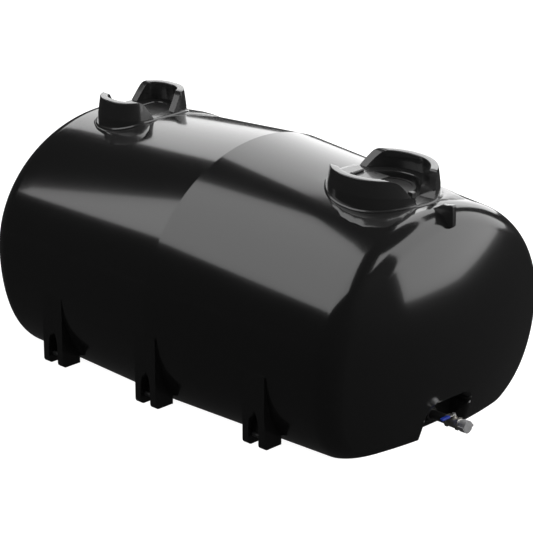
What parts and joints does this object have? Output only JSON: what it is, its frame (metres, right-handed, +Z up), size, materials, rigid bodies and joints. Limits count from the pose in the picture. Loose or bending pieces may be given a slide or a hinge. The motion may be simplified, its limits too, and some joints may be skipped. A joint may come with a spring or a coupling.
{
  "type": "horizontal water tank",
  "caption": "Horizontal black plastic water cartage tank on a flat base, with two guarded top hatches, slotted tie-down lugs and a ball valve outlet in a pocket of one end.",
  "frame": {"origin": "on the floor, at the middle of the tank's flat base, under the crease ring where the two halves meet", "axes": "+X along the tank towards the outlet end, +Y to the left when looking that way, +Z up"},
  "size_m": [3.481, 2.062, 1.6056],
  "materials": {
    "tank_plastic": "glossy moulded black",
    "hatch_plastic": "satin moulded black",
    "bar_steel": "black coated steel",
    "fitting_plastic": "satin black",
    "pin_steel": "brushed",
    "valve_metal": "cast and machined",
    "lever_steel": "plated",
    "grip_blue": "dipped vinyl",
    "coupling_metal": "cast aluminium"
  },
  "bodies": {
    "tank": {"shell_rear_half": "tank_plastic", "shell_front_half": "tank_plastic", "rear_end": "tank_plastic", "front_end": "tank_plastic", "outlet_pocket": "tank_plastic", "tie_lug_right_rear": "tank_plastic", "tie_lug_right_middle": "tank_plastic", "tie_lug_right_front": "tank_plastic", "tie_lug_left_rear": "tank_plastic", "tie_lug_left_middle": "tank_plastic", "tie_lug_left_front": "tank_plastic", "tie_bar_right_rear": "bar_steel", "tie_bar_right_middle": "bar_steel", "tie_bar_right_front": "bar_steel", "tie_bar_left_rear": "bar_steel", "tie_bar_left_middle": "bar_steel", "tie_bar_left_front": "bar_steel", "front_hatch_collar": "hatch_plastic", "front_guard_right": "hatch_plastic", "front_guard_left": "hatch_plastic", "front_lid_staple": "fitting_plastic", "front_hinge_pin": "pin_steel", "rear_hatch_collar": "hatch_plastic", "rear_guard_right": "hatch_plastic", "rear_guard_left": "hatch_plastic", "rear_cover": "fitting_plastic", "lifting_fin": "hatch_plastic", "tank_flange": "fitting_plastic", "outlet_nipple": "fitting_plastic", "valve_body": "valve_metal", "hose_adapter": "coupling_metal", "dust_cap": "coupling_metal", "cap_arm_right": "coupling_metal", "cap_arm_left": "coupling_metal"},
    "lid": {"front_lid": "fitting_plastic"},
    "lever": {"valve_lever": "lever_steel", "lever_grip": "grip_blue"}
  },
  "joints": [
    {"name": "lid_hinge", "type": "hinge", "parent": "tank", "child": "lid", "pos_m": [0.832, 0, 1.50359], "axis": [0, -1, 0], "range_deg": [0, 90]},
    {"name": "lever_turn", "type": "hinge", "parent": "tank", "child": "lever", "pos_m": [1.662, 0, 0.132], "axis": [0, 0, -1], "range_deg": [0, 90]}
  ]
}
